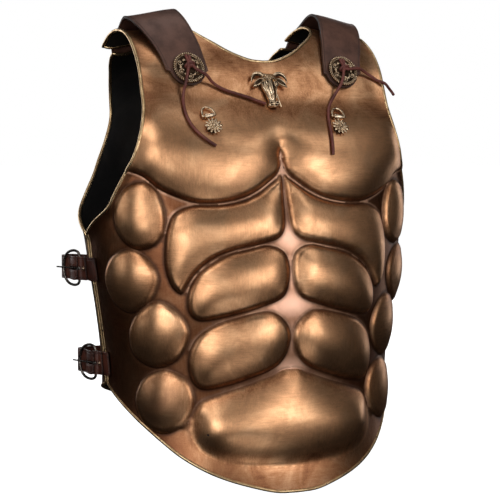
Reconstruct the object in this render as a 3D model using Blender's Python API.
"""Muscle cuirass: an embossed breastplate and a plainer backplate, held together by two leather
shoulder straps laced to conchos and by four buckled side straps. The breast carries a bull's head
and, on each side, a small ring in a keeper above a rosette.

Metres, +Z up. The origin is where the cuirass bears on its wearer: midway between the shoulders, at
the top of the shoulder tabs. The wearer faces -Y, and the wearer's left is +X.

A place on a plate is given as on its flat pattern, in millimetres: "across" is the distance round
the plate from its middle, "up" the distance up it from the lowest edge, and "lift" the height above
its surface.
"""

from math import cos, pi, radians, sin

import bmesh
import bpy
import numpy as np
from mathutils import Matrix, Vector
from mathutils.geometry import delaunay_2d_cdt

MM = 0.001

# ---- driving dimensions (metres) -----------------------------------------------------------------
WALL = 0.0016  # the plates' sheet
ROLL_RADIUS = 0.0019  # rolled edge round each plate
SEAM_SETBACK = 0.0036  # from each plate's side edge to the plane between the plates
GAP = 0.00035  # between pieces that touch
FOLD_GAP = 0.0008  # between the two layers of a folded tab
STRAP_THICKNESS = 0.0030
TAB_THICKNESS = 0.0022  # side tabs and side straps
SIDE_HALF_WIDTH = 0.0130
LACE_RADIUS = 0.0017
CONCHO_RADIUS = 0.0182
ROSETTE_RADIUS = 0.0100
RING_WIRE = 0.00125
KEEPER_LENGTH = 0.0110
BUCKLE_WIRE = 0.0015
PRONG_WIRE = 0.0011
RIVET_RADIUS = 0.0027

FRONT_FACET, BACK_FACET = 12.8, 21.0  # millimetres between points along the plates' edges and creases

# Sections of the plates. side_y is where the section's ends lie, middle_y its middle; squareness 2
# is an ellipse; neck_rise is how much higher the section is by the neck than out at the arm. The
# last rows are the shoulder tabs, which on the breastplate turn over to the back.
FRONT_SECTIONS = (
    # up   z   half_width  middle_y  side_y  squareness  neck_rise
    (0, -520, 177, -146, 0, 2.5, 0),
    (40, -480, 172, -128, 0, 2.35, 0),
    (100, -420, 169, -117, 0, 2.2, 0),
    (160, -360, 172, -119, 0, 2.1, 0),
    (220, -300, 180, -121, 0, 2.1, 0),
    (280, -240, 189, -115, 0, 2.15, 0),
    (340, -180, 193, -101, 0, 2.4, 0),
    (400, -120, 192, -86, 0, 3.1, 0),
    (450, -72, 188, -65, 2, 4.2, 0),
    (490, -36, 184, -50, 10, 4.0, 0),
    (515, -17, 180, -35, 25, 3.6, 3),
    (540, -4, 178, -14, 42, 3.2, 8),
    (565, 0, 176, 11, 58, 2.8, 11.5),
    (590, -5, 176, 35, 70, 2.6, 13),
    (615, -17, 176, 57, 82, 2.6, 15),
)
BACK_SECTIONS = (
    # up   z   half_width  middle_y  side_y  squareness  neck_rise
    (60, -460, 170, 103, 0, 2.4, 0),
    (100, -420, 169, 99, 0, 2.35, 0),
    (160, -360, 172, 93, 0, 2.3, 0),
    (220, -300, 180, 90, 0, 2.3, 0),
    (280, -240, 189, 92, 0, 2.4, 0),
    (340, -180, 193, 98, 0, 2.7, 0),
    (400, -120, 192, 105, 0, 3.0, 0),
    (434, -87, 190, 105, 4, 3.4, 0),
    (466, -57, 186, 98, 14, 3.6, 3),
    (490, -38, 182, 84, 26, 3.4, 7),
    (508, -29, 180, 69, 34, 3.2, 10),
    (527, -25, 178, 52, 40, 3.0, 13),
)
RISE_FROM, RISE_TO = 150, 75  # distance across where neck_rise begins and where it is whole

# Edges of each half plate, from its middle outwards or from the seam upwards: (across, up).
# None stands for the side seam, wherever the plate's girth puts it.
FRONT_HEM = ((0, 20), (22, 21), (43, 25.5), (75, 35), (101, 46), (125, 60), (149, 78), (165, 90),
             (195, 111), (None, 130))
FRONT_ARMHOLE = ((None, 298), (228, 308), (201, 325), (189, 342), (174, 366), (164, 382), (156, 405),
                 (150, 433), (149, 454), (148.5, 479), (148.5, 492), (148.5, 509), (148, 528),
                 (148, 560), (148.5, 585), (149, 612))
FRONT_NECK = ((0, 493), (15, 494.5), (30, 500), (43, 507), (56, 517), (69, 528), (78, 540), (81.5, 556),
              (82, 574), (81, 594), (79.5, 612))
BACK_HEM = ((0, 86), (50, 88), (100, 97), (150, 113), (None, 130))
BACK_ARMHOLE = ((None, 298), (218, 309), (186, 330), (162, 355), (148, 378), (136, 400), (127, 425),
                (127.5, 450), (131, 475), (137, 500), (141, 527))
BACK_NECK = ((0, 458), (28, 460), (46, 466), (58, 477), (66, 492), (69.5, 509), (71, 527))

# Raised muscles: height, width of the rounded shoulder inside the outline, fullness (0.5 is a
# quarter of an ellipse, 1 is flatter at the outline), outline (across, up).
# An outline that crosses the middle (negative across) is one swelling, not a pair.
FRONT_MUSCLES = {
    "chest": (13.5, 40, 0.58, ((1.5, 374), (4, 366), (9, 360), (18, 353.5), (31, 345), (49, 337),
                               (74, 332), (101, 332), (122, 338), (142, 348), (158, 361), (190, 378),
                               (215, 440), (190, 540), (60, 560), (-60, 540), (-60, 460), (-28, 425),
                               (-8, 398), (1, 384))),
    "rib_roll": (9, 23, 0.66, ((1.4, 360), (1.8, 325), (4, 304), (13, 293), (35, 287), (60, 282.5),
                               (87, 273), (106, 258), (117, 243), (123, 235), (133, 243), (139, 262),
                               (139, 284), (135, 304), (126, 321), (106, 329), (75, 329.5),
                               (49, 334), (31, 341.5), (18, 350), (8, 356.5))),
    "upper_belly": (10.5, 35, 0.66, ((2, 262), (7, 278), (24, 285.5), (46, 282), (72, 276), (95, 264),
                            (108, 252), (116, 235), (116, 218), (109, 208), (97, 206), (70, 211),
                            (36, 220), (12, 229), (4, 243))),
    "middle_belly": (10.5, 36, 0.66, ((2, 182), (4, 197), (14, 209), (28, 215), (54, 211), (86, 202),
                             (104, 190), (113, 174), (115, 155), (109, 138), (97, 131), (76, 134),
                             (52, 141), (24, 151), (9, 163))),
    "lower_belly": (16, 52, 0.92, ((0, 151), (22, 145), (50, 135), (80, 126), (101, 118), (110, 104),
                                   (114, 88), (109, 70), (91, 56), (60, 48), (0, 44), (-60, 48),
                                   (-109, 70), (-101, 118), (-50, 135))),
    "side_1": (9, 28, 0.66, ((159, 355), (171, 352), (183, 343), (193, 326), (193, 304), (182, 288),
                             (166, 282), (149, 287), (138, 302), (136, 323), (141, 341), (148, 351))),
    "side_2": (9, 34, 0.66, ((147, 250), (156, 271), (178, 283), (203, 273), (216, 250), (206, 225),
                             (181, 213), (157, 226))),
    "side_3": (9, 34, 0.66, ((114, 191), (124, 213), (147, 227), (171, 216), (184, 192), (177, 166),
                       (150, 154), (125, 165))),
    "side_4": (9, 34, 0.66, ((107, 119), (116, 142), (140, 153), (165, 143), (176, 118), (166, 93),
                       (142, 83), (117, 95))),
}
BACK_MUSCLES = {
    "shoulder_blade": (6, 45, 0.7, ((6, 330), (50, 316), (104, 318), (134, 350), (128, 396), (96, 428),
                               (40, 432), (8, 400))),
    "loin": (5, 45, 0.7, ((5, 128), (60, 132), (118, 158), (134, 220), (112, 288), (60, 306), (12, 300),
                     (4, 220))),
}
CHEST_FADE = (384, 452)  # "up" between which the chest runs smoothly into the neck

# Shoulder strap, from its tip under the concho over the shoulder and down the back.
SHOULDER_STRAP = (
    # plate   up  across half_width lift
    ("front", 461, 94.5, 5, 0.8),
    ("front", 464.5, 94.5, 12.5, 0.8),
    ("front", 470, 94.5, 17.5, 0.8),
    ("front", 476.5, 94.8, 20, 0.8),
    ("front", 478.5, 95.2, 24, 0.8),
    ("front", 494, 98, 24.5, 1.4),
    ("front", 506, 101, 25.5, 3.2),
    ("front", 520, 105, 26.5, 6),
    ("front", 534, 109, 27, 9.8),
    ("front", 546, 112, 27.5, 13),
    ("front", 553, 113, 28, 14),
    ("front", 560, 113, 28, 13.2),
    ("front", 568, 113, 28, 9.6),
    ("front", 578, 113, 28, 4.6),
    ("front", 588, 113, 28, 2.2),
    ("front", 600, 112, 27, 1.6),
    ("front", 612, 112, 26, 2.2),
    ("back", 502, 109, 24, 4.4),
    ("back", 486, 106, 22, 2.8),
    ("back", 466, 104.5, 21, 2.4),
    ("back", 448, 103.5, 20, 1.9),
    ("back", 439, 103.5, 15, 1.7),
    ("back", 435, 103.5, 7, 1.7),
)
STRAP_RIVET = (104, 450, 5.6)  # on the backplate
CONCHO = (94.5, 480, 5.0)
RING_BAR = (78.5, 423, 2.8)
RING_TILT = radians(8)  # the ring leans outwards from the rosette
RING_WIDTH, RING_HEIGHT = 0.0150, 0.0118
ROSETTE = (76.5, 410.8, 2.0)
CHEST_SHIFT = -2.5  # the rings and rosettes sit this much towards the wearer's right
BULL = (0, 455, 2.6)

# Laces, from the knot over the concho's rim and down the breast. Chosen by hand.
LACES = {
    "lace_right_inner": (-1, ((87.6, 476.2, 10.4), (81.5, 473, 10.4), (76, 469.8, 9.2),
                              (70, 465, 4.8), (62.5, 459.8, 3.0), (53, 455, 2.9), (44, 452, 2.9),
                              (36, 449.5, 2.9), (27, 446.5, 2.9), (19, 443, 2.9),
                              (9, 439.2, 2.7))),
    "lace_right_outer": (-1, ((98.3, 473.2, 10.6), (100.6, 466.5, 11.2), (102.2, 460.4, 10.4),
                              (104, 453, 5.6), (105.6, 444, 3.2), (106.6, 433, 2.7),
                              (105.8, 422, 2.1), (102.4, 411.5, 2.1), (96.5, 403, 2.1),
                              (88.5, 395.6, 2.1), (80, 389.5, 2.1))),
    "lace_left_inner": (1, ((91.3, 473, 10.6), (88.4, 466.5, 11.2), (85.6, 460.6, 10.4),
                            (81.2, 453.4, 5.6), (75, 445, 3.2), (68.8, 436, 2.7), (64.6, 426, 2.4),
                            (61.6, 414, 2.1), (59.6, 400, 2.1), (57.8, 386, 2.1), (57, 380, 2.1))),
    "lace_left_outer": (1, ((102.3, 480.6, 10.4), (108.5, 481.4, 10.4), (114.6, 481.6, 9.6),
                            (121, 481, 6.4), (127.5, 478.6, 3.8), (134, 475, 3.1),
                            (140.5, 471, 2.6), (147, 466.8, 3.7), (153, 462.4, 4.2),
                            (158.5, 457.8, 4.0), (163, 452.8, 3.4))),
}

# Side closures: how high each crosses the seam, how far behind the seam its buckle's bar is, and how
# far it stands off the widest part of the plates.
CLOSURES = {"upper": (258, 17, 8.8), "lower": (153, 7, 8.6)}
BUCKLE_TURN = radians(20)  # the buckle points backwards and this much outwards
BUCKLE_LENGTH = 0.028
BUCKLE_OUTLINE = ((0, 15), (3, 18), (10, 19.2), (19, 17), (25, 11), (28, 0))  # (along, half height)


# ---- curves and outlines -------------------------------------------------------------------------
def smooth_path(points, closed=False, steps=8):
    """Catmull-Rom curve through the points, with this many steps from each point to the next."""
    points = np.asarray(points, float)
    if closed:
        around = np.concatenate([points[-1:], points, points[:2]])
    else:
        around = np.concatenate([2 * points[:1] - points[1:2], points, 2 * points[-1:] - points[-2:-1]])
    t = np.linspace(0, 1, steps, endpoint=False)[:, None]
    stretches = []
    for a, b, c, d in zip(around, around[1:], around[2:], around[3:]):
        stretches.append(
            0.5 * (2 * b + (c - a) * t + (2 * a - 5 * b + 4 * c - d) * t**2
                   + (3 * b - a - 3 * c + d) * t**3)
        )
    if not closed:
        stretches.append(points[-1:])
    return np.concatenate(stretches)


def spread(path, count):
    """The path cut into this many equal lengths."""
    lengths = np.linalg.norm(np.diff(path, axis=0), axis=1)
    along = np.concatenate([[0], np.cumsum(lengths)])
    wanted = np.linspace(0, along[-1], count + 1)
    return np.stack([np.interp(wanted, along, column) for column in path.T], axis=1)


def columns_at(table, at):
    """Each column of the table, read smoothly at these values of its first column."""
    rows = np.asarray(table, float)
    key, values = rows[:, 0], rows[:, 1:]
    slopes = np.gradient(values, key, axis=0)
    at = np.asarray(at, float)
    low = np.clip(np.searchsorted(key, at) - 1, 0, len(key) - 2)
    width = (key[low + 1] - key[low])[..., None]
    t = ((at - key[low])[..., None]) / width
    mixed = ((2 * t**3 - 3 * t**2 + 1) * values[low] + (t**3 - 2 * t**2 + t) * width * slopes[low]
             + (3 * t**2 - 2 * t**3) * values[low + 1] + (t**3 - t**2) * width * slopes[low + 1])
    return np.moveaxis(mixed, -1, 0)


def distance_to_path(path, x, y):
    """Distance from each point to an open or closed run of straight pieces."""
    start, step = path[:-1], np.diff(path, axis=0)
    rx, ry = x[..., None] - start[:, 0], y[..., None] - start[:, 1]
    t = np.clip((rx * step[:, 0] + ry * step[:, 1]) / (step**2).sum(axis=1), 0, 1)
    return np.sqrt(((rx - t * step[:, 0]) ** 2 + (ry - t * step[:, 1]) ** 2).min(axis=-1))


def depth_inside(outline, x, y):
    """How far inside the closed outline each point is, 0 outside it."""
    ring = np.concatenate([outline, outline[:1]])
    ax, ay, bx, by = ring[:-1, 0], ring[:-1, 1], ring[1:, 0], ring[1:, 1]
    px, py = x[..., None], y[..., None]
    crosses = ((ay > py) != (by > py)) & (
        px < (bx - ax) * (py - ay) / np.where(by == ay, 1, by - ay) + ax
    )
    inside = crosses.sum(axis=-1) % 2 == 1
    return np.where(inside, distance_to_path(ring, x, y), 0)


def smooth_step(low, high, at):
    t = np.clip((at - low) / (high - low), 0, 1)
    return t * t * (3 - 2 * t)


# ---- the plates' surfaces ------------------------------------------------------------------------
class Plate:
    """One plate's surface. Places on it are (across, up) in millimetres; points come out in metres."""

    EDGE_BAND = 12  # the muscles die away this far from the neck and the armholes
    ARM_FLARE = 2.5  # how far the armhole's edge turns outwards
    STEPS_INSIDE = (3.5, 10.0)  # extra points this far inside each crease

    def __init__(self, sections, muscles, hem, armhole, neck, facing):
        self.sections, self.muscles, self.facing = sections, muscles, facing
        self.hem = smooth_path(self.with_seam(hem))
        self.armhole = smooth_path(self.with_seam(armhole))
        self.neck = smooth_path(neck)
        self.outlines = {name: smooth_path(outline, closed=True, steps=6)
                         for name, (*_, outline) in muscles.items()}

    def section_lines(self, up, samples=97):
        """Half of each section, from the middle to the side: x, y, distance along it, and z."""
        z, half_width, middle_y, side_y, squareness, neck_rise = (
            column[..., None] for column in columns_at(self.sections, up)
        )
        angle = np.linspace(0, pi / 2, samples)
        reach = (np.abs(np.cos(angle)) ** squareness + np.sin(angle) ** squareness) ** (-1 / squareness)
        x = half_width * np.sin(angle) * reach
        y = side_y + (middle_y - side_y) * np.cos(angle) * reach
        along = np.zeros_like(x)
        along[..., 1:] = np.cumsum(np.hypot(np.diff(x), np.diff(y)), axis=-1)
        return x, y, along, z + neck_rise * smooth_step(RISE_FROM, RISE_TO, along)

    def girth(self, up):
        """Distance round the plate from its middle to the plane between the plates."""
        return self.section_lines(np.asarray(up, float))[2][..., -1]

    def with_seam(self, rows):
        setback = SEAM_SETBACK / MM
        return np.array([(self.girth(up) - setback if across is None else across, up)
                         for across, up in rows])

    def bare(self, across, up):
        """Points of the surface without its muscles, in millimetres."""
        x, y, along, z = self.section_lines(up)
        wanted = np.abs(across)[..., None]
        low = np.clip((along < wanted).sum(axis=-1) - 1, 0, along.shape[-1] - 2)[..., None]

        def pick(rows, step=0):
            return np.take_along_axis(rows, low + step, axis=-1)[..., 0]

        t = (wanted[..., 0] - pick(along)) / (pick(along, 1) - pick(along))
        px, py, pz = (pick(rows) + t * (pick(rows, 1) - pick(rows)) for rows in (x, y, z))
        return np.stack([np.where(across < 0, -px, px), py, pz], axis=-1)

    def normal(self, across, up, step=3.0):
        """Unit vectors that point away from the wearer."""
        sideways = self.bare(across + step, up) - self.bare(across - step, up)
        upwards = self.bare(across, up + step) - self.bare(across, up - step)
        out = np.cross(sideways, upwards) * self.facing
        return out / np.linalg.norm(out, axis=-1, keepdims=True)

    def relief(self, across, up):
        """Height of the embossing above the bare surface, in millimetres."""
        side = np.abs(across)
        height = np.zeros_like(side)
        for name, (rise, shoulder, fullness, _) in self.muscles.items():
            depth = depth_inside(self.outlines[name], side, up)
            swell = rise * (1 - (1 - np.minimum(depth / shoulder, 1)) ** 2) ** fullness
            if name == "chest":
                swell = swell * (1 - smooth_step(*CHEST_FADE, up))
            height = np.maximum(height, swell)
        from_armhole = distance_to_path(self.armhole, side, up)
        from_neck = distance_to_path(self.neck, side, up)
        edge = np.minimum(from_armhole, from_neck)
        flare = self.ARM_FLARE * (1 - smooth_step(0, self.EDGE_BAND, from_armhole)) ** 2
        return height * (0.35 + 0.65 * smooth_step(0, self.EDGE_BAND, edge)) + flare

    def skin(self, across, up, lift=0.0):
        """Points at this lift above the embossed surface, in metres."""
        across, up, lift = np.broadcast_arrays(*(np.asarray(v, float) for v in (across, up, lift)))
        height = self.relief(across, up) + lift
        return (self.bare(across, up) + self.normal(across, up) * height[..., None]) * MM

    def half_edge(self, facet):
        """Points round half the plate: up its middle, along the neck, down the side, back by the hem."""
        seam = self.with_seam([(None, up) for up in np.linspace(self.armhole[0, 1], self.hem[-1, 1], 9)])
        middle = np.stack([self.hem[0], self.neck[0]])
        end = np.stack([self.neck[-1], self.armhole[-1]])
        sides = (middle, self.neck, end, self.armhole[::-1], seam, self.hem[::-1])
        lengths = [np.linalg.norm(np.diff(side, axis=0), axis=1).sum() for side in sides]
        return np.concatenate([spread(side, max(2, round(length / facet)))[:-1]
                               for side, length in zip(sides, lengths)])

    def net(self, facet):
        """A triangle net of the plate whose lines follow its edges and the muscles' creases."""
        edge = self.half_edge(facet)
        places = list(edge)
        links = [(n, (n + 1) % len(edge)) for n in range(len(edge))]

        def free(spot, room, from_edge):
            x, y = spot[:1], spot[1:]
            if depth_inside(edge, x, y)[0] < from_edge:
                return False
            return np.linalg.norm(np.array(places) - spot, axis=1).min() > room

        for outline in self.outlines.values():
            closed = np.concatenate([outline, outline[:1]])
            length = np.linalg.norm(np.diff(closed, axis=0), axis=1).sum()
            line = spread(closed, round(length / facet))[:-1]
            before = None
            first = None
            for spot in line:
                if not free(spot, 1.2, 2.0):
                    before = None
                    continue
                places.append(spot)
                here = len(places) - 1
                first = here if spot is line[0] else first
                if before is not None:
                    links.append((before, here))
                before = here
            if before is not None and first is not None:
                links.append((before, first))
        for inset in self.STEPS_INSIDE:
            for outline in self.outlines.values():
                closed = np.concatenate([outline, outline[:1]])
                length = np.linalg.norm(np.diff(closed, axis=0), axis=1).sum()
                count = round(length / facet)
                line = spread(closed, count)[:-1]
                along = np.roll(line, -1, axis=0) - np.roll(line, 1, axis=0)
                inward = np.stack([-along[:, 1], along[:, 0]], axis=1)
                inward /= np.linalg.norm(inward, axis=1, keepdims=True)
                turning = (line[:, 0] * np.roll(line[:, 1], -1) - line[:, 1] * np.roll(line[:, 0], -1)).sum()
                line = line + inward * inset * np.sign(turning)
                deep = depth_inside(outline, line[:, 0], line[:, 1]) > 0.85 * inset
                for spot in line[deep]:
                    if free(spot, 0.3 * facet + 0.25 * inset, 3.0):
                        places.append(spot)
        step = 1.75 * facet
        rows = np.arange(self.hem[:, 1].min(), self.armhole[-1, 1], step * 0.87)
        for number, up in enumerate(rows):
            for across in np.arange(step * (0.5 + 0.5 * (number % 2)), self.girth(up), step):
                spot = np.array([across, up])
                if free(spot, 0.62 * step, 0.45 * step):
                    places.append(spot)
        spots, _, triangles, *_ = delaunay_2d_cdt([Vector(p) for p in places], links, [], 0, 1e-5)
        spots = np.array([tuple(p) for p in spots])
        triangles = np.array([tuple(t) for t in triangles])
        middles = spots[triangles].mean(axis=1)
        triangles = triangles[depth_inside(edge, middles[:, 0], middles[:, 1]) > 0]
        return mirrored_net(spots, triangles)

    def frame(self, across, up, lift, turn=0.0, reach=5.0):
        """Placing matrix: Z outwards, Y up the plate, X to the wearer's left (right on the back)."""
        here = self.skin(across, up, lift)
        above = Vector(self.skin(across, up + reach, lift) - self.skin(across, up - reach, lift))
        above.normalize()
        right = above.cross(Vector(self.normal(np.float64(across), np.float64(up)))).normalized()
        axes = Matrix((right, above, right.cross(above))).transposed().to_4x4()
        return Matrix.Translation(here) @ axes @ Matrix.Rotation(turn, 4, "Z")


def mirrored_net(spots, triangles):
    """The whole plate's net from its half: points, triangles and the points round its rim in order."""
    used = np.unique(triangles)
    renumber = np.full(len(spots), -1)
    renumber[used] = np.arange(len(used))
    spots, triangles = spots[used], renumber[triangles]
    central = np.abs(spots[:, 0]) < 1e-3
    spots[central, 0] = 0
    twin = np.where(central, np.arange(len(spots)), len(spots) + np.cumsum(~central) - 1)
    whole = np.concatenate([spots, spots[~central] * (-1, 1)])
    faces = np.concatenate([triangles, twin[triangles][:, ::-1]])
    following = {}
    for a, b, c in faces.tolist():
        for start, end in ((a, b), (b, c), (c, a)):
            if following.get(end) and start in following[end]:
                following[end].remove(start)
            else:
                following.setdefault(start, set()).add(end)
    ends = {start: min(nexts) for start, nexts in following.items() if nexts}
    rim = [min(ends)]
    while ends[rim[-1]] != rim[0]:
        rim.append(ends[rim[-1]])
    return whole, faces, np.array(rim)


FRONT = Plate(FRONT_SECTIONS, FRONT_MUSCLES, FRONT_HEM, FRONT_ARMHOLE, FRONT_NECK, 1)
BACK = Plate(BACK_SECTIONS, BACK_MUSCLES, BACK_HEM, BACK_ARMHOLE, BACK_NECK, -1)
PLATES = {"front": FRONT, "back": BACK}


# ---- materials and objects -----------------------------------------------------------------------
def material(name, colour, roughness, metallic):
    made = bpy.data.materials.new(name)
    made.use_nodes = True
    shader = made.node_tree.nodes["Principled BSDF"]
    shader.inputs["Base Color"].default_value = (*colour, 1)
    shader.inputs["Roughness"].default_value = roughness
    shader.inputs["Metallic"].default_value = metallic
    return made


def clear_scene():
    for thing in list(bpy.data.objects):
        bpy.data.objects.remove(thing, do_unlink=True)


def add_object(name, data, finish, place=None):
    thing = bpy.data.objects.new(name, data)
    bpy.context.scene.collection.objects.link(thing)
    if finish:
        data.materials.append(finish)
    if place is not None:
        thing.matrix_world = place
    return thing


def mesh_object(name, vertices, faces, finish, place=None):
    mesh = bpy.data.meshes.new(name)
    mesh.from_pydata([tuple(map(float, vertex)) for vertex in vertices], [], faces)
    shape = bmesh.new()
    shape.from_mesh(mesh)
    bmesh.ops.remove_doubles(shape, verts=shape.verts, dist=1e-7)
    return finished_object(name, shape, finish, place)


def finished_object(name, shape, finish, place):
    """Makes an object of a closed bmesh: faces outwards, shaded smooth up to its sharp edges."""
    bmesh.ops.recalc_face_normals(shape, faces=shape.faces)
    if shape.calc_volume(signed=True) < 0:
        bmesh.ops.reverse_faces(shape, faces=shape.faces)
    mesh = bpy.data.meshes.new(name)
    shape.to_mesh(mesh)
    shape.free()
    mesh.shade_smooth()
    mesh.set_sharp_from_angle(angle=radians(40))
    return add_object(name, mesh, finish, place)


def shell(name, outer, inner, finish):
    """A wall between two nets of points."""
    count = outer.shape[0] * outer.shape[1]
    index = np.arange(count).reshape(outer.shape[:2])
    faces = []
    for side in (index, index + count):
        quads = np.stack([side[:-1, :-1], side[:-1, 1:], side[1:, 1:], side[1:, :-1]], axis=-1)
        faces += quads.reshape(-1, 4).tolist()
    rim = rim_of(index)
    faces += np.stack([rim, np.roll(rim, -1), np.roll(rim, -1) + count, rim + count], axis=-1).tolist()
    return mesh_object(name, np.concatenate([outer.reshape(-1, 3), inner.reshape(-1, 3)]), faces, finish)


def rim_of(net):
    """The net's values round its edge, in order."""
    return np.concatenate([net[0, :-1], net[:-1, -1], net[-1, :0:-1], net[:0:-1, 0]])


def turned(name, profile, segments, finish, place):
    """A solid turned about Z from a profile of (radius, height) in millimetres."""
    shape = bmesh.new()
    line = [shape.verts.new((radius * MM, 0, height * MM)) for radius, height in profile]
    edges = [shape.edges.new(pair) for pair in zip(line, line[1:])]
    bmesh.ops.spin(shape, geom=line + edges, cent=(0, 0, 0), axis=(0, 0, 1), angle=2 * pi,
                   steps=segments, use_merge=True)
    bmesh.ops.remove_doubles(shape, verts=shape.verts, dist=1e-6)
    return finished_object(name, shape, finish, place)


def rod(name, points, radius, finish, place=None, closed=False, fineness=1):
    """A round rod along the points: a poly curve with a bevel, capped unless it closes on itself."""
    curve = bpy.data.curves.new(name, "CURVE")
    curve.dimensions = "3D"
    curve.bevel_depth = radius
    curve.bevel_resolution = fineness
    curve.use_fill_caps = not closed
    spline = curve.splines.new("POLY")
    spline.points.add(len(points) - 1)
    for target, point in zip(spline.points, points):
        target.co = (*map(float, point), 1)
    spline.use_cyclic_u = closed
    return add_object(name, curve, finish, place)


def loft(name, sections, finish, place=None):
    """A solid through rings of points, closed at both ends."""
    size = len(sections[0])
    faces = [list(range(size)), [size * (len(sections) - 1) + n for n in range(size)]]
    for ring in range(len(sections) - 1):
        for n in range(size):
            after = (n + 1) % size
            faces.append([ring * size + n, ring * size + after,
                          (ring + 1) * size + after, (ring + 1) * size + n])
    return mesh_object(name, [point for ring in sections for point in ring], faces, finish, place)


def box_points(low, high):
    """Two rings of a box's corners, for loft()."""
    (x0, y0, z0), (x1, y1, z1) = low, high
    return [[(x, y0, z0), (x, y1, z0), (x, y1, z1), (x, y0, z1)] for x in (x0, x1)]


def combine(target, other, operation):
    """Joins the other object to the target, or cuts it away, and keeps it out of the render."""
    modifier = target.modifiers.new(other.name, "BOOLEAN")
    modifier.operation = operation
    modifier.object = other
    other.hide_render = True
    other.display_type = "WIRE"


# ---- pieces --------------------------------------------------------------------------------------
def plate_solid(name, plate, facet, finish):
    """A plate of even wall with a rolled edge all round it."""
    spots, triangles, rim = plate.net(facet)
    across, up = spots.T
    outer, inner = plate.skin(across, up), plate.skin(across, up, -WALL / MM)
    edge, out = outer[rim], plate.normal(across[rim], up[rim])
    along = np.roll(edge, -1, axis=0) - np.roll(edge, 1, axis=0)
    away = np.cross(along, out) * plate.facing
    away /= np.linalg.norm(away, axis=1, keepdims=True)
    count, loop = len(spots), len(rim)
    rings = [edge - out * WALL / 2 + ROLL_RADIUS * (sin(angle) * out + cos(angle) * away)
             for angle in (pi / 3, 0, -pi / 3)]
    loops = [rim, *(2 * count + n * loop + np.arange(loop) for n in range(len(rings))), rim + count]
    faces = triangles.tolist() + (triangles[:, ::-1] + count).tolist()
    for near, far in zip(loops, loops[1:]):
        faces += np.stack([np.roll(near, -1), near, far, np.roll(far, -1)], axis=-1).tolist()
    return mesh_object(name, np.concatenate([outer, inner, *rings]), faces, finish)


def shoulder_strap(name, side, finish):
    """The leather band from under the concho over the shoulder to the back."""
    outer, inner = [], []
    for plate_name, up, across, half_width, lift in SHOULDER_STRAP:
        places = side * (across + half_width * np.array([-1.0, 0.0, 1.0]))
        outer.append(PLATES[plate_name].skin(places, up, lift + STRAP_THICKNESS / MM))
        inner.append(PLATES[plate_name].skin(places, up, lift))
    return shell(name, np.array(outer), np.array(inner), finish)


def concho(name, side, finish):
    """A domed disc with a beaded rim, a ring of rays and a raised middle."""
    across, up, lift = CONCHO
    radius = CONCHO_RADIUS / MM
    profile = ((0, 0), (radius - 0.5, 0), (radius, 1.4), (radius - 1.2, 3.0), (radius - 3, 2.0),
               (8, 2.2), (6, 3.2), (0, 3.4))
    return turned(name, profile, 18, finish, FRONT.frame(side * across, up, lift))


def lace_knot(name, side, finish):
    across, up, lift = CONCHO
    place = FRONT.frame(side * across, up, lift + 3.4 + GAP / MM)
    profile = ((0, 0), (3.2, 0.2), (5.6, 1.4), (5.8, 2.6), (4.0, 4.4), (0, 5.0))
    return turned(name, profile, 10, finish, place)


def lace_points(side, route):
    """Evenly spaced points on the smooth curve through a lace's own points."""
    places = smooth_path([(side * across, up, lift) for across, up, lift in route])
    line = FRONT.skin(places[:, 0], places[:, 1], places[:, 2])
    length = np.linalg.norm(np.diff(line, axis=0), axis=1).sum()
    return spread(line, round(length / (5 * LACE_RADIUS)))


def ring_frame(side):
    across, up, lift = RING_BAR
    return FRONT.frame(side * across + CHEST_SHIFT, up, lift, -side * RING_TILT)


def chest_ring(name, side, finish):
    """A D-shaped ring whose straight bar, along X, turns in the keeper."""
    half = RING_WIDTH / 2
    bow = [(half * cos(a), RING_HEIGHT * sin(a) ** 0.8, 0) for a in np.linspace(0, pi, 11)]
    return rod(name, bow + [(0, 0, 0)], RING_WIRE, finish, ring_frame(side), closed=True)


def ring_keeper(name, side, finish):
    """A half-round saddle over the ring's bar, with its feet on the plate."""
    bore, crown, foot = RING_WIRE + GAP, RING_WIRE + GAP + 0.0011, -0.0019
    angles = np.linspace(0, pi, 7)
    arch = [(crown * cos(a), crown * sin(a)) for a in angles]
    hollow = [(bore * cos(a), bore * sin(a)) for a in angles[::-1]]
    outline = [(crown, foot), *arch, (-crown, foot), (-bore, foot), *hollow, (bore, foot)]
    ends = [[(x, y, z) for y, z in outline] for x in (-KEEPER_LENGTH / 2, KEEPER_LENGTH / 2)]
    return loft(name, ends, finish, ring_frame(side))


def rosette(name, side, finish):
    """A twelve-petalled flower with a round boss."""
    across, up, lift = ROSETTE
    radius = ROSETTE_RADIUS / MM
    profile = ((0, 0), (radius, 0.5), (radius * 0.62, 2.2), (radius * 0.36, 1.3),
               (radius * 0.24, 3.0), (0, 3.6))
    flower = turned(name, profile, 24, finish, FRONT.frame(side * across + CHEST_SHIFT, up, lift))
    for vertex in flower.data.vertices:
        reach = vertex.co.xy.length
        if reach > 0.5 * ROSETTE_RADIUS:
            turn = np.arctan2(vertex.co.y, vertex.co.x)
            notch = 0.5 - 0.5 * cos(12 * turn)
            vertex.co.xy *= 1 - 0.17 * notch
            vertex.co.z *= 1 - 0.35 * notch
    return flower


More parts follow.
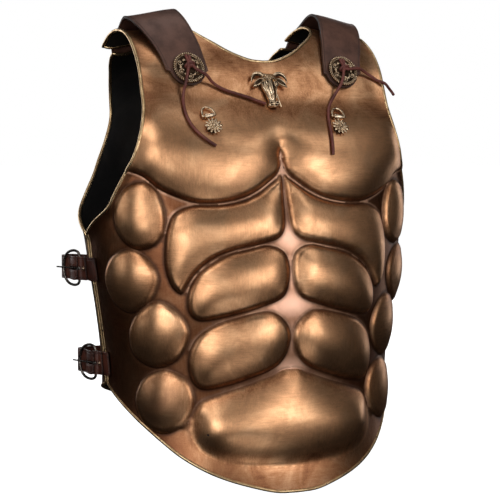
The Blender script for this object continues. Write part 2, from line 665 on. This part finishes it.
def bull_head(name, finish):
    """A cast bull's head, broad at the poll and narrow at the muzzle, with horns and ears."""
    across, up, lift = BULL
    place = FRONT.frame(across, up, lift, reach=20.0)
    rows = (
        # y   half_width  rise
        (20.3, 6.4, 1.6),
        (17.5, 9.6, 3.6),
        (11, 10.2, 4.8),
        (5.5, 10.2, 5.0),
        (-2, 7.2, 4.9),
        (-11, 5.2, 4.7),
        (-16.5, 6.2, 5.0),
        (-20.4, 4.6, 2.4),
    )
    angles = np.linspace(0, pi, 7)
    rings = [[(half * cos(a) * MM, y * MM, rise * sin(a) * MM) for a in angles]
             for y, half, rise in rows]
    head = loft(name, rings, finish, place)
    limbs = {
        "horn": ((7, 17.4, 2.2, 2.6), (13, 20, 2.6, 2.4), (18.5, 18.4, 2.6, 1.9), (22, 12.5, 2.0, 0.8)),
        "ear": ((8, 12, 2.0, 1.8), (13, 10.5, 2.2, 3.0), (17.5, 7, 2.2, 2.8), (21, 3, 1.8, 0.9)),
    }
    for side in (1, -1):
        for kind, stations in limbs.items():
            rings = []
            for x, y, z, radius in stations:
                rings.append([(side * (x + 0.6 * radius * cos(a)) * MM,
                               (y + radius * cos(a)) * MM,
                               (z + min(radius, z) * 0.9 * sin(a)) * MM)
                              for a in np.linspace(0, 2 * pi, 7)[:-1]])
            limb = loft(f"{kind}_{side}", rings, None, place)
            combine(head, limb, "UNION")
    return head


# ---- side closures -------------------------------------------------------------------------------
class Closure:
    """Lays out one side closure. Plan points are (distance out from the middle, y), in metres."""

    def __init__(self, key, side):
        self.up, behind, stand_off = CLOSURES[key]
        self.side = side
        z, half_width, *_ = columns_at(FRONT_SECTIONS, float(self.up))
        self.z = float(z) * MM
        self.bar = np.array([float(half_width) + stand_off, behind]) * MM
        self.back = np.array([sin(BUCKLE_TURN), cos(BUCKLE_TURN)])
        self.out = np.array([cos(BUCKLE_TURN), -sin(BUCKLE_TURN)])

    def plan(self, back, out):
        """A plan point measured from the buckle's bar, in millimetres."""
        return self.bar + (self.back * back + self.out * out) * MM

    def measured(self, point):
        """How far back and out a point is from the bar, in millimetres."""
        away = (np.array([self.side * point[0], point[1]]) - self.bar) / MM
        return away @ self.back, away @ self.out

    def at(self, back, out, half_width=SIDE_HALF_WIDTH):
        """The upper and lower edge of a band that stands upright there."""
        x, y = self.plan(back, out)
        return [(self.side * x, y, self.z + half_width), (self.side * x, y, self.z - half_width)]

    def on_plate(self, plate, from_seam, lift, half_width=SIDE_HALF_WIDTH):
        """The two edges of a band that lies on a plate, this far from the side seam."""
        ups = self.up + np.array([half_width, -half_width]) / MM
        across = self.side * (plate.girth(ups) - from_seam)
        return plate.skin(across, ups, lift).tolist()

    def band(self, name, route, thickness, finish):
        """A leather band whose two edges follow the route."""
        route = np.array(route)
        along = np.gradient(route.mean(axis=1), axis=0)
        through = np.cross(along, route[:, 0] - route[:, 1])
        through *= thickness / 2 / np.linalg.norm(through, axis=1, keepdims=True)
        made = shell(name, route + through[:, None], route - through[:, None], finish)
        shape = bmesh.new()
        shape.from_mesh(made.data)
        shape.verts.ensure_lookup_table()
        # Each twisted face splits from its lower front corner to its upper rear one, whichever way
        # the rows run, so that the two layers of a fold stay parallel.
        rearwards = np.array([self.side * self.back[0], self.back[1], 0])
        for start, step in enumerate(np.diff(route.mean(axis=1), axis=0)):
            corners = (1, 2) if step @ rearwards > 0 else (3, 0)
            for surface in (0, 2 * len(route)):
                ends = [shape.verts[surface + 2 * start + corner] for corner in corners]
                bmesh.ops.connect_verts(shape, verts=ends)
        bmesh.ops.triangulate(shape, faces=shape.faces)
        shape.to_mesh(made.data)
        shape.free()
        return made

    def place(self, back, out):
        """Placing matrix: X along the buckle, Y upright, Z outwards from the plates."""
        x, y = self.plan(back, out)
        ahead = Vector((self.side * self.back[0], self.back[1], 0))
        outward = Vector((self.side * self.out[0], self.out[1], 0))
        axes = Matrix((ahead, outward.cross(ahead), outward)).transposed().to_4x4()
        return Matrix.Translation((self.side * x, y, self.z)) @ axes

    def seat(self, behind, here, ahead, lift):
        """Placing matrix on a band, from its edges behind, at and ahead of there: Z outwards."""
        along = Vector(np.mean(ahead, axis=0) - np.mean(behind, axis=0)).normalized()
        outward = (along.cross(Vector(here[0]) - Vector(here[1])) * self.side).normalized()
        axes = Matrix((along, outward.cross(along), outward)).transposed().to_4x4()
        return Matrix.Translation(Vector(np.mean(here, axis=0)) + outward * lift) @ axes


def side_closure(tag, key, side, leather, metal):
    """Tab, rivet, buckle and prong on the breastplate, and the strap from the backplate."""
    plan = Closure(key, side)
    layer = TAB_THICKNESS / MM
    bend = BUCKLE_WIRE / MM + GAP / MM + layer / 2
    trimmed = SIDE_HALF_WIDTH - 0.003

    guide = [plan.on_plate(FRONT, 14, 2.0, trimmed), plan.on_plate(FRONT, 12.5, 2.0),
             plan.on_plate(FRONT, 7, 2.2), plan.on_plate(FRONT, 1, 3.2)]
    if plan.bar[1] > 15 * MM:
        guide += [plan.on_plate(BACK, 5, 2.6), plan.at(-6.5, -bend)]
    else:
        guide += [plan.at(-8, -bend)]
    guide += [plan.at(-3, -bend)]
    lines = [np.transpose([plan.measured(edges[end]) for edges in guide]) for end in (0, 1)]

    def row(back, above=0.0):
        """The two edges of the tab this far back, or of a layer that lies this far above it."""
        outs = [np.interp(back, *line) + above for line in lines]
        return [plan.at(back, out)[end] for end, out in enumerate(outs)]

    turned_back = layer + FOLD_GAP / MM
    tab_route = [edges for edges in guide if plan.measured(edges[0])[0] < -14]
    tab_route += [row(-12.5), row(-9.5), row(-6.6), row(-3)]

    tab_route += [plan.at(bend * sin(a), -bend * cos(a)) for a in np.linspace(0.15, pi - 0.15, 6)]
    tab_route += [plan.at(-3, bend - 0.9), row(-5.2, turned_back + 0.4)]
    tab_route += [row(back, turned_back) for back in (-6.6, -9.5, -12.5)]
    tab = plan.band(f"side_tab_{tag}", tab_route, TAB_THICKNESS, leather)

    upper_half = [(along * MM, half * MM, 0) for along, half in BUCKLE_OUTLINE]
    ring = upper_half + [(along, -half, 0) for along, half, _ in upper_half[-2::-1]]
    rod(f"buckle_frame_{tag}", ring, BUCKLE_WIRE, metal, plan.place(0, 0), closed=True)

    prong_lift = BUCKLE_WIRE + GAP + PRONG_WIRE
    hook = [(prong_lift * sin(a), 0, -prong_lift * cos(a)) for a in np.linspace(-2.2, -pi, 4)]
    tip = [(BUCKLE_LENGTH * 0.45, 0, prong_lift), (BUCKLE_LENGTH + 0.008, 0, prong_lift)]
    rod(f"buckle_prong_{tag}", hook + tip, PRONG_WIRE, metal, plan.place(0, 0))

    over = bend + layer + GAP / MM
    strap_route = [plan.on_plate(BACK, 92, 1.9), plan.on_plate(BACK, 80, 1.9),
                   plan.on_plate(BACK, 68, 2.6), plan.on_plate(BACK, 56, 5.5), plan.at(39, -23),
                   plan.at(39, -11), plan.at(36, -5.2), plan.at(BUCKLE_LENGTH / MM, -bend),
                   plan.at(21, -2.8), plan.at(14, 0.4), plan.at(7, over - 1.4), plan.at(0, over),
                   plan.at(-3.2, over, trimmed)]
    strap = plan.band(f"side_strap_{tag}", strap_route, TAB_THICKNESS, leather)

    slot = loft(f"slot_{tag}", box_points((-3.6 * MM, -1.9 * MM, -5 * MM), (18 * MM, 1.9 * MM, 9 * MM)),
                None, plan.place(0, 0))
    for leather_piece in (tab, strap):
        combine(leather_piece, slot, "DIFFERENCE")

    head = ((0, 0), (RIVET_RADIUS / MM, 0), (RIVET_RADIUS / MM * 0.8, 1.1), (0, 1.7))
    on_fold = plan.seat(*tab_route[:-4:-1], TAB_THICKNESS / 2 + GAP)
    turned(f"tab_rivet_{tag}", head, 8, metal, on_fold)
    seat = float(BACK.girth(plan.up)) - 84
    strap_place = BACK.frame(side * seat, plan.up, 1.9 + layer / 2 + 0.5)
    turned(f"strap_rivet_{tag}", head, 8, metal, strap_place)


# ---- the whole cuirass ---------------------------------------------------------------------------
def build():
    clear_scene()
    bronze = material("aged_bronze", (0.43, 0.23, 0.11), 0.34, 1.0)
    brass = material("antique_brass", (0.38, 0.29, 0.16), 0.42, 1.0)
    strap_leather = material("dark_brown_leather", (0.075, 0.036, 0.026), 0.55, 0.0)
    lace_leather = material("oxblood_lace", (0.11, 0.028, 0.022), 0.6, 0.0)
    steel = material("dark_steel", (0.14, 0.12, 0.11), 0.35, 1.0)

    plate_solid("front_plate", FRONT, FRONT_FACET, bronze)
    plate_solid("back_plate", BACK, BACK_FACET, bronze)
    rivet = ((0, 0), (4.6, 0), (4.0, 1.4), (0, 2.3))
    for side, hand in ((1, "left"), (-1, "right")):
        shoulder_strap(f"shoulder_strap_{hand}", side, strap_leather)
        across, up, lift = STRAP_RIVET
        turned(f"shoulder_rivet_{hand}", rivet, 10, brass, BACK.frame(side * across, up, lift))
        concho(f"concho_{hand}", side, brass)
        lace_knot(f"lace_knot_{hand}", side, lace_leather)
        chest_ring(f"chest_ring_{hand}", side, brass)
        ring_keeper(f"ring_keeper_{hand}", side, brass)
        rosette(f"rosette_{hand}", side, brass)
        for key in CLOSURES:
            side_closure(f"{key}_{hand}", key, side, strap_leather, steel)
    for name, (side, route) in LACES.items():
        rod(name, lace_points(side, route), LACE_RADIUS, lace_leather, fineness=2)
    bull_head("bull_head", brass)


build()
